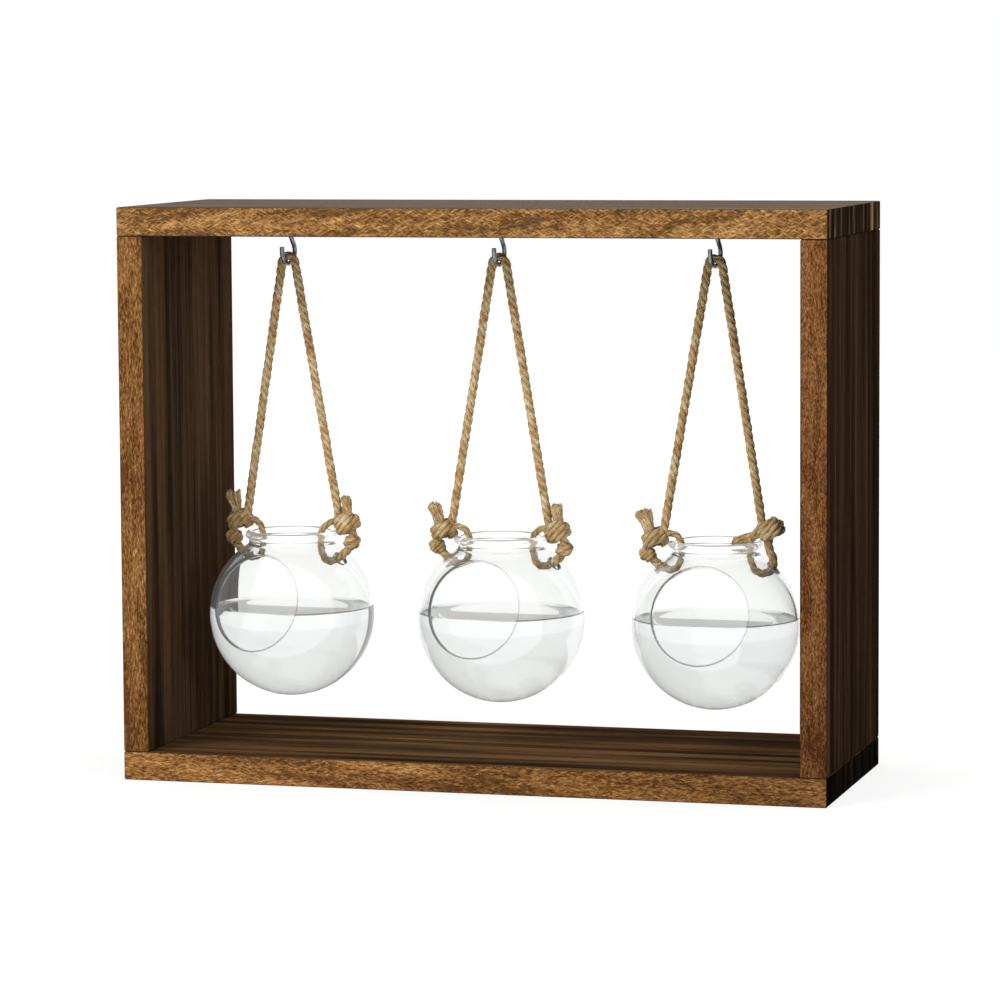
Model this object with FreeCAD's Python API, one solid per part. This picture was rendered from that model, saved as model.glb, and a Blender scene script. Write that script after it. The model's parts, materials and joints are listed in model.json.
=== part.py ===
import FreeCAD, Part
import math
import os

# A wooden stand with three glass globe vases for rooting cuttings in water.
# Each globe hangs from a screw hook on a loop of jute rope.
# Sizes are in millimetres. X runs along the stand, Y from front to back, Z up.
# The origin is the middle of the stand's underside.

vector = FreeCAD.Vector
upright = vector(0, 0, 1)

# Stand
frame_width = 350.0
frame_height = 280.0
frame_depth = 132.0
board_thick = 14.0
side_thick = 13.0
edge_ease = 0.8
overrun = 1.0

# Dowels, two in each corner of the stand
dowel_thick = 6.0
dowel_length = 26.0
dowel_in_board = 9.0
dowel_inset = 26.0
dowel_fit = 0.05
dowel_end_gap = 0.5
dowel_bevel = 0.6

# Screw hooks
hook_wire = 2.3
hook_bend_radius = 6.0
hook_drop = 15.6
hook_forward = 2.5
hook_straight = 2.5
hook_kink_radius = 3.0
hook_tip_rise = 2.4
hook_tip_bevel = 0.25
thread_length = 10.5
thread_point = 2.5
thread_pitch = 1.5
thread_depth = 0.45
thread_fit = 0.05
thread_end_gap = 0.4

# Rope
rope_thick = 4.6
rope_on_hook_gap = 0.3
rope_flex_gap = 0.6

# Globe vases
globe_radius = 41.0
glass_thick = 2.0
floor_gap = 21.5
shoulder_radius = 21.2
neck_height = 2.2
rim_radius = 23.0
rim_height = 4.1
mouth_radius = 20.0
mouth_ease = 0.8
window_radius = 24.0
window_lift = 14.5
hole_radius = 4.0
hole_land = 5.92
hole_top_gap = 0.4

# Knots, with the eye of rope that holds the glass and the short loose tail
knot_radius = 6.9
knot_height = 10.0
knot_side_gap = 0.3
knot_drop = 1.4
knot_end_share = 0.46
knot_groove_share = 0.77
knot_turn_share = 0.87
rim_clear = 1.9
mouth_clear = 1.7
eye_outside = 7.0
eye_inside = 5.5
eye_bulge = 2.8
eye_climb = 3.6
eye_start_out = 1.6
eye_start_drop = 2.0
eye_end_in = 2.0
eye_end_rise = 1.4
leg_inset = 3.9
tail_length = 14.0
tail_flare = 1.0
tail_out = 0.9
bend_share = 0.48

# The knot that lies over the rim is slacker than the others
slack_out = 3.6
slack_rise = 7.0
slack_reach = 5.2
slack_dip = 4.2
slack_bulge = 4.6

# Name of each vase, how far its hook is turned and how far the vase has turned on its rope
vase_turns = (
    ("left", -13.0, -15.0),
    ("middle", -9.0, -9.0),
    ("right", -12.0, -1.0),
)

# Side of each knot, whether it is slack, and how far its tail leans outwards and backwards
knot_leans = {
    "left": (("left", False, 7.0, 0.0), ("right", False, -3.0, 0.0)),
    "middle": (("left", False, 14.0, 0.0), ("right", False, 3.0, 0.0)),
    "right": (("left", False, 24.0, 0.0), ("right", True, 20.0, 35.0)),
}

# What follows from the sizes above
inner_width = frame_width - 2 * side_thick
vase_spacing = inner_width / len(vase_turns)
side_height = frame_height - 2 * board_thick
under_top = frame_height - board_thick
rope_radius = rope_thick / 2
wire_radius = hook_wire / 2
hook_bottom = under_top - hook_drop
rope_bend_radius = wire_radius + rope_on_hook_gap + rope_radius
globe_height = board_thick + floor_gap + globe_radius
shoulder_height = math.sqrt(globe_radius**2 - shoulder_radius**2)
rim_top = shoulder_height + neck_height + rim_height
shoulder_lean = math.asin(shoulder_radius / globe_radius)
hole_lean = shoulder_lean + (hole_land + hole_radius) / globe_radius
knot_out = rim_radius + knot_radius + knot_side_gap
strand_up = rim_top + rim_clear + rope_radius
knot_up = strand_up - knot_drop
mouth_out = mouth_radius - mouth_clear - rope_radius
window_distance = math.sqrt(globe_radius**2 - window_radius**2)


def save(node, solids):
    shape = solids[0] if len(solids) == 1 else Part.makeCompound(solids)
    shape.exportStep("parts/" + node + ".step")
    print(node, len(solids), "solid(s), volume", round(sum(one.Volume for one in solids), 1))


def rod(start, end, radius):
    return Part.makeCylinder(radius, (end - start).Length, start, end - start)


def turned(shape, place, angle):
    # A copy turned about the upright through the origin, then moved
    copy = shape.copy()
    copy.rotate(vector(0, 0, 0), upright, angle)
    copy.translate(place)
    return copy


def turned_point(point, angle):
    radians = math.radians(angle)
    x = point.x * math.cos(radians) - point.y * math.sin(radians)
    y = point.x * math.sin(radians) + point.y * math.cos(radians)
    return vector(x, y, point.z)


def unit(point):
    return point * (1 / point.Length)


def corner(before, point, after, radius):
    # The arc that rounds one corner, and the points where it meets the two runs
    arrive = unit(point - before)
    leave = unit(after - point)
    turn = arrive.getAngle(leave)
    reach = radius * math.tan(turn / 2)
    start = point - arrive * reach
    end = point + leave * reach
    inward = unit(leave - arrive)
    middle = point + inward * (radius / math.cos(turn / 2) - radius)
    return start, Part.Arc(start, middle, end).toShape(), end


def tube(points, radius, name):
    # A tube along straight runs whose corners are as round as the runs allow
    edges = []
    radii = []
    at = points[0]
    for before, point, after in zip(points, points[1:], points[2:]):
        turn = (point - before).getAngle(after - point)
        shorter = min((point - before).Length, (after - point).Length)
        bend = bend_share * shorter / math.tan(turn / 2)
        start, arc, end = corner(before, point, after, bend)
        edges.append(Part.LineSegment(at, start).toShape())
        edges.append(arc)
        radii.append(round(bend, 1))
        at = end
    edges.append(Part.LineSegment(at, points[-1]).toShape())
    path = Part.Wire(edges)
    section = Part.Wire(Part.makeCircle(radius, points[0], points[1] - points[0]))
    solid = path.makePipeShell([section], True, False)
    expected = math.pi * radius**2 * path.Length
    print(name, "radii", radii, "volume over section times length", round(solid.Volume / expected, 4))
    return solid


# Stand

def eased_board(width, depth, height, corner_point):
    # A board with its long edges and ends slightly rounded
    board = Part.makeBox(width, depth, height, corner_point)
    return board.makeFillet(edge_ease, board.Edges)


def side_middle(side):
    return side * (frame_width - side_thick) / 2


def dowel_places(side):
    reach = frame_depth / 2 - dowel_inset
    return [vector(side_middle(side), y, 0) for y in (-reach, reach)]


def dowel_holes(side, seam, board_way):
    # The holes of one corner: the shallow half in the long board, the deep half in the side board
    deep = dowel_length - dowel_in_board
    holes = []
    for place in dowel_places(side):
        low = seam - (dowel_in_board if board_way < 0 else deep) - dowel_end_gap
        height = dowel_length + 2 * dowel_end_gap
        start = vector(place.x, place.y, low)
        holes.append(Part.makeCylinder(dowel_thick / 2 + dowel_fit, height, start, upright))
    return holes


def dowel_pair(side, seam, board_way):
    deep = dowel_length - dowel_in_board
    pair = []
    for place in dowel_places(side):
        low = seam - (dowel_in_board if board_way < 0 else deep)
        start = vector(place.x, place.y, low)
        dowel = Part.makeCylinder(dowel_thick / 2, dowel_length, start, upright)
        ends = [edge for edge in dowel.Edges if edge.Curve.TypeId == "Part::GeomCircle"]
        pair.append(dowel.makeChamfer(dowel_bevel, ends))
    return pair


def vase_place(index):
    # Where the hook's shank stands, seen from above
    return vector((index - (len(vase_turns) - 1) / 2) * vase_spacing, 0, 0)


def pilot_hole(index):
    start = vase_place(index) + vector(0, 0, under_top - overrun)
    depth = thread_length + thread_end_gap + overrun
    return Part.makeCylinder(wire_radius + thread_depth + thread_fit, depth, start, upright)


def make_stand():
    corner_holes = {}
    for side_name, side in (("left", -1), ("right", 1)):
        for level_name, seam, board_way in (("bottom", board_thick, -1), ("top", under_top, 1)):
            corner_holes[level_name, side_name] = dowel_holes(side, seam, board_way)
            save(level_name + "_" + side_name + "_dowels", dowel_pair(side, seam, board_way))
    front = -frame_depth / 2
    left = -frame_width / 2
    for level_name, base in (("bottom", 0), ("top", under_top)):
        board = eased_board(frame_width, frame_depth, board_thick, vector(left, front, base))
        board = board.cut(corner_holes[level_name, "left"] + corner_holes[level_name, "right"])
        if level_name == "top":
            board = board.cut([pilot_hole(index) for index in range(len(vase_turns))])
        save(level_name + "_board", board.Solids)
    for side_name, side in (("left", -1), ("right", 1)):
        start = vector(side_middle(side) - side_thick / 2, front, board_thick)
        board = eased_board(side_thick, frame_depth, side_height, start)
        board = board.cut(corner_holes["bottom", side_name] + corner_holes["top", side_name])
        save(side_name + "_board", board.Solids)


# Screw hooks

def thread_solid():
    # A shank with V-shaped ridges and a point, standing up from the board's underside
    plain = thread_length - thread_point
    ridges = int(plain / thread_pitch)
    points = [(0, 0), (wire_radius, 0)]
    for number in range(ridges):
        base = number * thread_pitch
        points.append((wire_radius, base))
        points.append((wire_radius + thread_depth, base + thread_pitch / 2))
    points.append((wire_radius, ridges * thread_pitch))
    points.append((0, thread_length))
    points = [point for number, point in enumerate(points) if number == 0 or point != points[number - 1]]
    outline = Part.makePolygon([vector(x, 0, under_top + z) for x, z in points + points[:1]])
    return Part.Face(outline).revolve(vector(0, 0, 0), upright, 360)


def hook_solid():
    # The wire leaves the board, leans back, and comes round under the rope to a cut tip in front
    top = vector(0, 0, under_top)
    kink = vector(0, 0, under_top - hook_straight)
    centre = vector(0, -hook_forward, hook_bottom + hook_bend_radius)
    away = kink - centre
    lean = math.atan2(away.z, away.y) - math.acos(hook_bend_radius / away.Length)

    def on_bend(angle):
        return centre + vector(0, math.cos(angle), math.sin(angle)) * hook_bend_radius

    touch = on_bend(lean)
    low = on_bend(-math.pi / 2)
    front = on_bend(-math.pi)
    tip = front + upright * hook_tip_rise
    start, kink_arc, end = corner(top, kink, touch, hook_kink_radius)
    edges = [
        Part.LineSegment(top, start).toShape(),
        kink_arc,
        Part.LineSegment(end, touch).toShape(),
        Part.Arc(touch, on_bend((lean - math.pi / 2) / 2), low).toShape(),
        Part.Arc(low, on_bend(-math.pi * 3 / 4), front).toShape(),
        Part.LineSegment(front, tip).toShape(),
    ]
    section = Part.Wire(Part.makeCircle(wire_radius, top, upright))
    wire = Part.Wire(edges).makePipeShell([section], True, False)
    rings = [edge for edge in wire.Edges if abs(edge.BoundBox.ZMin - tip.z) < hook_tip_bevel
             and edge.BoundBox.ZLength < hook_tip_bevel]
    wire = wire.makeChamfer(hook_tip_bevel, rings)
    return wire.fuse(thread_solid()).removeSplitter()


# Rope

def loop_place(index):
    # The middle of the rope's loop, seen from above: the lowest point of the hook
    turn = vase_turns[index][1]
    return vase_place(index) + turned_point(vector(0, -hook_forward, 0), turn)


def local_knot(slack):
    # The knot's middle, out from the vase's axis and up from the globe's middle
    if slack:
        return vector(rim_radius + slack_out, 0, rim_top + slack_rise)
    return vector(knot_out, 0, knot_up)


def side_turn(side):
    # Knots are drawn on the vase's right
    return 180 if side == "left" else 0


def knot_places(index):
    # Where each leg of the loop enters its knot
    name, hook_turn, vase_turn = vase_turns[index]
    places = []
    for side, slack, lean_out, lean_back in knot_leans[name]:
        local = local_knot(slack) - vector(leg_inset, 0, 0)
        place = turned_point(local, vase_turn + side_turn(side))
        places.append(place + loop_place(index) + upright * globe_height)
    return places


def leg_slope():
    # How far a taut leg leans, so that the bend ends where the leg leaves the hook
    out = knot_out - leg_inset
    down = hook_bottom - globe_height - knot_up
    distance = math.hypot(out, down)
    return math.atan2(out, down) + math.acos(rope_bend_radius / distance) - math.pi / 2


def bend_ends(index):
    # The ends of the rope's bend over the hook, left and right
    slope = leg_slope()
    hook_turn = vase_turns[index][1]
    ends = []
    for way in (-1, 1):
        local = vector(way * math.cos(slope), 0, math.sin(slope)) * rope_bend_radius
        place = turned_point(local, hook_turn) + loop_place(index)
        ends.append(place + upright * hook_bottom)
    return ends


def rope_bend(index):
    # The stretch of rope over the hook, with a round end where each leg flexes
    slope = leg_slope()
    hook_turn = vase_turns[index][1]
    start = vector(math.cos(slope), 0, math.sin(slope)) * rope_bend_radius
    along = vector(-math.sin(slope), 0, math.cos(slope))
    section = Part.Face(Part.Wire(Part.makeCircle(rope_radius, start, along)))
    bend = section.revolve(vector(0, 0, 0), vector(0, -1, 0), 180 - 2 * math.degrees(slope))
    bend = turned(bend, loop_place(index) + upright * hook_bottom, hook_turn)
    balls = [Part.makeSphere(rope_radius, end) for end in bend_ends(index)]
    return bend.fuse(balls).removeSplitter()


def rope_legs(index, knot_solids):
    legs = []
    for end, place, knot in zip(bend_ends(index), knot_places(index), knot_solids):
        leg = rod(end, place, rope_radius)
        leg = leg.cut(Part.makeSphere(rope_radius + rope_flex_gap, end))
        legs.extend(leg.cut(knot).Solids)
    return legs


# Globe vases

def wall_crossing():
    # Where the rope passes through the glass, hanging in the top of its hole
    middle = globe_radius - glass_thick / 2
    slide = hole_radius - rope_radius - hole_top_gap
    lean = hole_lean - slide / middle
    return vector(math.sin(lean), 0, math.cos(lean)) * middle


def hanging_place(index):
    return loop_place(index) + upright * globe_height


def outer_glass():
    # Globe, neck and rolled rim as one turned outline
    rim_middle = rim_top - rim_height / 2
    neck_top = shoulder_height + neck_height
    bottom = vector(0, 0, -globe_radius)
    side = vector(globe_radius, 0, 0)
    half_turn = globe_radius / math.sqrt(2)
    shoulder = vector(shoulder_radius, 0, shoulder_height)
    halfway = (math.pi / 2 - shoulder_lean) / 2
    upper = vector(math.cos(halfway), 0, math.sin(halfway)) * globe_radius
    neck = vector(shoulder_radius, 0, neck_top)
    rim_side = vector(rim_radius, 0, rim_middle)
    rim_inside = vector(rim_radius - rim_height / 2, 0, rim_top)
    edges = [
        Part.Arc(bottom, vector(half_turn, 0, -half_turn), side).toShape(),
        Part.Arc(side, upper, shoulder).toShape(),
        Part.LineSegment(shoulder, neck).toShape(),
        Part.LineSegment(neck, rim_side).toShape(),
        Part.Arc(rim_side, rim_corner(rim_middle), rim_inside).toShape(),
        Part.LineSegment(rim_inside, vector(0, 0, rim_top)).toShape(),
        Part.LineSegment(vector(0, 0, rim_top), bottom).toShape(),
    ]
    return Part.Face(Part.Wire(edges)).revolve(vector(0, 0, 0), upright, 360)


def rim_corner(rim_middle):
    # The middle of the quarter round on the rim's outer edge
    round_radius = rim_height / 2
    reach = round_radius / math.sqrt(2)
    return vector(rim_radius - round_radius + reach, 0, rim_middle + reach)


def window_space(distance):
    # A block that covers everything beyond the flat window
    size = 2 * globe_radius
    block = Part.makeBox(size, size, size, vector(-size / 2, -distance - size, -size / 2))
    block.rotate(vector(0, 0, 0), vector(1, 0, 0), -window_lift)
    return block


def globe_solid():
    inner_radius = globe_radius - glass_thick
    outside = outer_glass().cut(window_space(window_distance))
    bowl = Part.makeSphere(inner_radius)
    bowl = bowl.cut(window_space(window_distance - glass_thick))
    bore_base = math.sqrt(inner_radius**2 - mouth_radius**2)
    bore_start = vector(0, 0, bore_base - overrun)
    bore = Part.makeCylinder(mouth_radius, rim_top - bore_base + 2 * overrun, bore_start, upright)
    glass = outside.cut(bowl).cut(bore)
    for side in (-1, 1):
        way = vector(side * math.sin(hole_lean), 0, math.cos(hole_lean))
        start = way * (inner_radius - glass_thick)
        glass = glass.cut(rod(start, way * (globe_radius + glass_thick), hole_radius))
    flat = [edge for edge in glass.Edges if edge.BoundBox.ZLength < mouth_ease / 2]
    inside_rim = [edge for edge in flat if abs(edge.BoundBox.ZMin - rim_top) < mouth_ease / 2
                  and edge.BoundBox.XLength < 2 * mouth_radius + mouth_ease]
    return glass.makeFillet(mouth_ease, inside_rim)


# Knots

def knot_body(middle):
    # A barrel with three bulges, one for each turn of rope in the knot
    half = knot_height / 2
    levels = [-half, -half / 3, half / 3, half]
    waists = [knot_end_share, knot_groove_share, knot_groove_share, knot_end_share]
    bulges = [knot_turn_share, 1, knot_turn_share]
    edges = [Part.LineSegment(vector(0, 0, -half), vector(waists[0] * knot_radius, 0, -half)).toShape()]
    for number, bulge_share in enumerate(bulges):
        low = vector(waists[number] * knot_radius, 0, levels[number])
        high = vector(waists[number + 1] * knot_radius, 0, levels[number + 1])
        out = vector(bulge_share * knot_radius, 0, (levels[number] + levels[number + 1]) / 2)
        edges.append(Part.Arc(low, out, high).toShape())
    edges.append(Part.LineSegment(vector(waists[-1] * knot_radius, 0, half), vector(0, 0, half)).toShape())
    edges.append(Part.LineSegment(vector(0, 0, half), vector(0, 0, -half)).toShape())
    barrel = Part.Face(Part.Wire(edges)).revolve(vector(0, 0, 0), upright, 360)
    barrel.translate(middle)
    return barrel


def eye_points(slack):
    # From the knot down outside, in through the hole, up inside the neck and back over the rim
    middle = local_knot(slack)
    crossing = wall_crossing()
    outward = unit(crossing)
    outside = crossing + outward * eye_outside
    inside = crossing - outward * eye_inside
    start = middle + vector(eye_start_out, 0, -eye_start_drop)
    run = outside - start
    sideways = unit(vector(-run.z, 0, run.x))
    bulge = (start + outside) * (1 / 2) + sideways * (slack_bulge if slack else eye_bulge)
    reach = mouth_out - (slack_reach if slack else 0)
    climb = vector(reach, 0, inside.z + eye_climb)
    over = vector(reach, 0, middle.z - slack_dip if slack else strand_up)
    end = middle + vector(-eye_end_in, 0, eye_end_rise)
    return [start, bulge, outside, inside, climb, over, end]


def tail_solid(middle, lean_out, lean_back):
    start = middle + vector(tail_out, 0, 0)
    tail = Part.makeCone(rope_radius, rope_radius + tail_flare, tail_length, start, upright)
    tail.rotate(start, vector(0, 1, 0), lean_out)
    tail.rotate(start, vector(1, 0, 0), -lean_back)
    return tail


def knot_solid(index, knot):
    name, hook_turn, vase_turn = vase_turns[index]
    side, slack, lean_out, lean_back = knot
    middle = local_knot(slack)
    eye = tube(eye_points(slack), rope_radius, name + " vase, " + side + " eye,")
    whole = knot_body(middle).fuse([eye, tail_solid(middle, lean_out, lean_back)])
    return turned(whole, hanging_place(index), vase_turn + side_turn(side))


def print_joint_places(index):
    # The points and directions that the moving parts turn about
    name, hook_turn, vase_turn = vase_turns[index]
    loop = loop_place(index)
    left, right = bend_ends(index)
    tilt = hanging_place(index) + upright * wall_crossing().z
    wire_way = turned_point(vector(0, 1, 0), hook_turn)
    print(name, "sideways swing at", loop + upright * hook_bottom, "along", wire_way)
    print(name, "front to back swing at", (left + right) * (1 / 2), "along x")
    print(name, "tilt of the glass at", tilt, "along", turned_point(vector(1, 0, 0), vase_turn))
    print(name, "globe middle", hanging_place(index), "rim top", globe_height + rim_top)


def make_vases():
    hook = hook_solid()
    globe = globe_solid()
    for index, (name, hook_turn, vase_turn) in enumerate(vase_turns):
        save(name + "_hook", [turned(hook, vase_place(index), hook_turn)])
        save(name + "_globe", [turned(globe, hanging_place(index), vase_turn)])
        save(name + "_rope_bend", rope_bend(index).Solids)
        knot_solids = [knot_solid(index, knot) for knot in knot_leans[name]]
        for knot, solid in zip(knot_leans[name], knot_solids):
            save(name + "_rope_" + knot[0] + "_knot", solid.Solids)
        save(name + "_rope_legs", rope_legs(index, knot_solids))
        print_joint_places(index)


os.makedirs("parts", exist_ok=True)
make_stand()
make_vases()
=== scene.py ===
import json
import random
from math import acos, asin, atan2, copysign, cos, degrees, hypot, pi, radians, sin, sqrt, tan

import bpy
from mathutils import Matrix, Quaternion, Vector


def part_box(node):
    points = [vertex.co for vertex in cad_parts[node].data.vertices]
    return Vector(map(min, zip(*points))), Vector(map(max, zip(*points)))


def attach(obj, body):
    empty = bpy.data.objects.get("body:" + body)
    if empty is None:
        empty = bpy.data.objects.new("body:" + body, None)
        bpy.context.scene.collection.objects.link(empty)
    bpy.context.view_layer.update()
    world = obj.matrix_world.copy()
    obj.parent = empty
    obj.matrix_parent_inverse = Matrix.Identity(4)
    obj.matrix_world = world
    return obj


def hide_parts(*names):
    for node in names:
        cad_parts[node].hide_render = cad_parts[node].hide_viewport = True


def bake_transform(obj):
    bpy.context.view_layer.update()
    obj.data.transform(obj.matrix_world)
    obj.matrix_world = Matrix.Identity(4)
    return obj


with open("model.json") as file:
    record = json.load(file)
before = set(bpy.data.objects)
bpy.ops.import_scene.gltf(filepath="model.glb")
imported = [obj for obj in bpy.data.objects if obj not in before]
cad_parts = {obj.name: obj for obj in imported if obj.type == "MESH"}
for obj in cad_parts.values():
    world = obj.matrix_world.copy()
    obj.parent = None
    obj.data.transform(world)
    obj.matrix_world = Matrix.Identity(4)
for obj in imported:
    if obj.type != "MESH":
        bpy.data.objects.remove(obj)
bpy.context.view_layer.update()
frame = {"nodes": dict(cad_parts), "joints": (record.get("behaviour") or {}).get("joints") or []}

mm = 0.001
vaseNames = ("left", "middle", "right")
joints = {joint["name"]: joint for joint in frame["joints"]}
upright = Vector((0, 0, 1))


# Small helpers

def linear(hexColor):
    # An sRGB hex colour as the linear colour that shaders take
    values = [int(hexColor[i:i + 2], 16) / 255 for i in (1, 3, 5)]
    return [v / 12.92 if v <= 0.04045 else ((v + 0.055) / 1.055) ** 2.4 for v in values] + [1.0]


def addNode(tree, kind, inputs=None, stops=None, **settings):
    # One shader node with its settings, its values or links, and the stops of its colour ramp
    node = tree.nodes.new("ShaderNode" + kind)
    for name, value in settings.items():
        setattr(node, name, value)
    for name, value in (inputs or {}).items():
        if isinstance(value, bpy.types.NodeSocket):
            tree.links.new(value, node.inputs[name])
        else:
            node.inputs[name].default_value = value
    if stops:
        ramp = node.color_ramp
        while len(ramp.elements) < len(stops):
            ramp.elements.new(0.5)
        for element, (place, color) in zip(ramp.elements, stops):
            element.position = place
            element.color = linear(color) if isinstance(color, str) else (color, color, color, 1)
    return node


def emptyTree(owner):
    owner.use_nodes = True
    owner.node_tree.nodes.clear()
    return owner.node_tree


def newMaterial(name):
    material = bpy.data.materials.new(name)
    return material, emptyTree(material)


def combine(tree, operation, first, second=0.0):
    return addNode(tree, "Math", {0: first, 1: second}, operation=operation).outputs[0]


def mixed(tree, amount, first, second, kind="MIX"):
    # Two colours mixed by the amount
    mix = addNode(tree, "Mix", {0: amount, 6: first, 7: second}, data_type="RGBA", blend_type=kind)
    return mix.outputs[2]


def colorRamp(tree, value, places, colors):
    # The value as a colour, by the colours that stand at these places
    return addNode(tree, "ValToRGB", {"Fac": value}, stops=tuple(zip(places, colors))).outputs[0]


def drawnOut(tree, value, low, high, first, last, **settings):
    # The value's range from low to high drawn out to another range
    return addNode(tree, "MapRange",
                   {"Value": value, "From Min": low, "From Max": high, "To Min": first, "To Max": last},
                   **settings).outputs[0]


def bumps(tree, height, strength, depth):
    return addNode(tree, "Bump", {"Height": height, "Strength": strength, "Distance": depth}).outputs[0]


def surface(tree, values, **more):
    # What the material shows
    shader = addNode(tree, "BsdfPrincipled", values)
    addNode(tree, "OutputMaterial", {"Surface": shader.outputs[0], **more})
    return shader


def attribute(tree, title):
    return addNode(tree, "Attribute", attribute_name=title).outputs["Fac"]


def stretchedNoise(tree, source, scales, detail, roughness=0.5, distortion=0.0):
    # Noise with its own scale along each axis
    stretched = addNode(tree, "VectorMath", {0: source, 1: scales}, operation="MULTIPLY")
    noise = addNode(tree, "TexNoise",
                    {"Vector": stretched.outputs[0], "Scale": 1.0, "Detail": detail,
                     "Roughness": roughness, "Distortion": distortion})
    return noise.outputs["Fac"]


def seenDirectly(tree):
    # 1 for what the camera sees itself, in a reflection or through glass, and 0 for what only lights
    light = addNode(tree, "LightPath").outputs
    seen = combine(tree, "MAXIMUM", light["Is Camera Ray"], light["Is Glossy Ray"])
    return combine(tree, "MAXIMUM", seen, light["Is Transmission Ray"])


def deselectAll():
    if bpy.context.object and bpy.context.object.mode != "OBJECT":
        bpy.ops.object.mode_set(mode="OBJECT")
    bpy.ops.object.select_all(action="DESELECT")


def makeActive(piece):
    deselectAll()
    piece.select_set(True)
    bpy.context.view_layer.objects.active = piece


def editAll(piece):
    # Into edit mode, with all of the mesh selected
    makeActive(piece)
    bpy.ops.object.mode_set(mode="EDIT")
    bpy.ops.mesh.select_all(action="SELECT")


def addObject(name, data):
    item = bpy.data.objects.new(name, data)
    bpy.context.scene.collection.objects.link(item)
    return item


def meshPiece(name, points, faces, edges=()):
    mesh = bpy.data.meshes.new(name)
    mesh.from_pydata(points, edges, faces)
    mesh.update()
    return addObject(name, mesh)


def setValues(piece, title, values):
    # One value for each point of the mesh
    piece.data.attributes.new(title, "FLOAT", "POINT").data.foreach_set("value", values)


def dress(piece, material):
    piece.data.materials.clear()
    piece.data.materials.append(material)


# Camera at the photograph's place

cameraLook = {
    "place": (0.5622, -2.0065, 0.3437),
    "turn": 15.69, "tilt": 84.28,
    "roll": -0.34,
    "lens": 153.64, "sensor": 36.0,
}


def makeCamera():
    camera = addObject("camera", bpy.data.cameras.new("camera"))
    camera.data.lens = cameraLook["lens"]
    camera.data.sensor_width = cameraLook["sensor"]
    camera.location = cameraLook["place"]
    turn = Quaternion(upright, radians(cameraLook["turn"]))
    tilt = Quaternion((1, 0, 0), radians(cameraLook["tilt"]))
    roll = Quaternion(upright, radians(cameraLook["roll"]))
    camera.rotation_mode = "QUATERNION"
    camera.rotation_quaternion = turn @ tilt @ roll
    bpy.context.scene.camera = camera
    print("camera set")


makeCamera()


# Stained open-grained hardwood, planed, brushed along the grain and oiled:
# matt, with long dark streaks on the broad faces and short flecks on the narrow ones. The side
# boards show no end and no upper face

# The upper faces of the top and bottom boards get a lighter, greyer ramp of their own: painted light from
# above and a painted sheen
woodLooks = {
    "top_board": {
        "grain": "x", "shift": (0.0, 0.31, 0.17),
        "broad": ("#1d1510", "#33251b", "#4b3828"), "upper": ("#43372c", "#584738", "#6b5847"),
        "edge": ("#5d3f22", "#8d653b", "#b08350", "#d6ad74"), "zone": "#5b4632",
        "end": ("#18130e", "#3a2d21", "#9a7a5a"), "fleckLean": 24.0, "zoneLean": 9.0,
        "edgeGain": (1.14, 1.05), "upperGloss": 0.05,
    },
    "bottom_board": {
        "grain": "x", "shift": (0.43, 0.07, 0.61),
        "broad": ("#1d1510", "#35261b", "#4b3828"), "upper": ("#2e2016", "#5a422c", "#8c6945"),
        "edge": ("#4d331c", "#7d5530", "#99703f", "#bb915c"), "zone": "#5a3a22",
        "end": ("#0b0806", "#17120f", "#2c2119"), "fleckLean": 14.0, "zoneLean": -4.0,
        "edgeGain": (1.6, 0.95), "upperGloss": 0.0,
    },
    "left_board": {
        "grain": "z", "shift": (0.19, 0.53, 0.29),
        "broad": ("#281f18", "#4b3827", "#654c36"),
        "edge": ("#55351b", "#855a32", "#a07343", "#c79a66"), "zone": "#6b4324",
        "fleckLean": 8.0, "zoneLean": 5.0,
        "edgeGain": (0.92, 0.92), "upperGloss": 0.01,
    },
    "right_board": {
        "grain": "z", "shift": (0.71, 0.23, 0.47),
        "broad": ("#1b130d", "#2e2118", "#473428"),
        "edge": ("#4c2c17", "#734a29", "#8d6039", "#a9805a"), "zone": "#5a331a",
        "fleckLean": 18.0, "zoneLean": -7.0,
        "edgeGain": (0.78, 1.02), "upperGloss": 0.01,
    },
}

woodGrain = {
    # How long and wide the grain's marks are
    "band": (300 * mm, 11 * mm),
    "streak": (70 * mm, 1.3 * mm),
    "pore": (5.5 * mm, 0.35 * mm),
    "fleck": (3.1 * mm, 0.7 * mm),
    "dot": (1.3 * mm, 0.45 * mm),
    "zone": (70 * mm, 8 * mm),
    # How wide and tall the marks on the ends are
    "endBand": (10 * mm, 120 * mm),
    "endRay": (1.5 * mm, 25 * mm),
    # Where the colours of each kind of face stand in its ramp
    "broadPlaces": (0.1, 0.5, 0.95),
    "edgePlaces": (0.1, 0.38, 0.62, 0.92),
    "endPlaces": (0.42, 0.53, 0.68),
    # Shares of the bands and rays, ranges of the noise, and what they are drawn out to
    "bandShare": 1.5,
    "broadRange": (0.9, 1.6),
    "fleckRange": (0.44, 0.76, 0.0, 0.72),
    "zoneRange": (0.32, 0.66, -0.08, 0.3),
    "zoneCover": (0.4, 0.3, 0.0, 0.75),
    "dotCover": (0.36, 0.3, 0.0, 0.6),
    "endShares": (0.75, 0.25),
    "poreRange": (0.33, 0.45),
    "poreShade": (0.6, 1.0),
    "arrisDarkRange": (0.72, 0.97, 0.55, 1.0),
    "facing": (0.62, 0.78),
    "poreDepth": 0.25 * mm,
    "bumpStrength": 0.5,
    "roughness": (0.54, 0.72),
    "gloss": 0.0,
}


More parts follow.
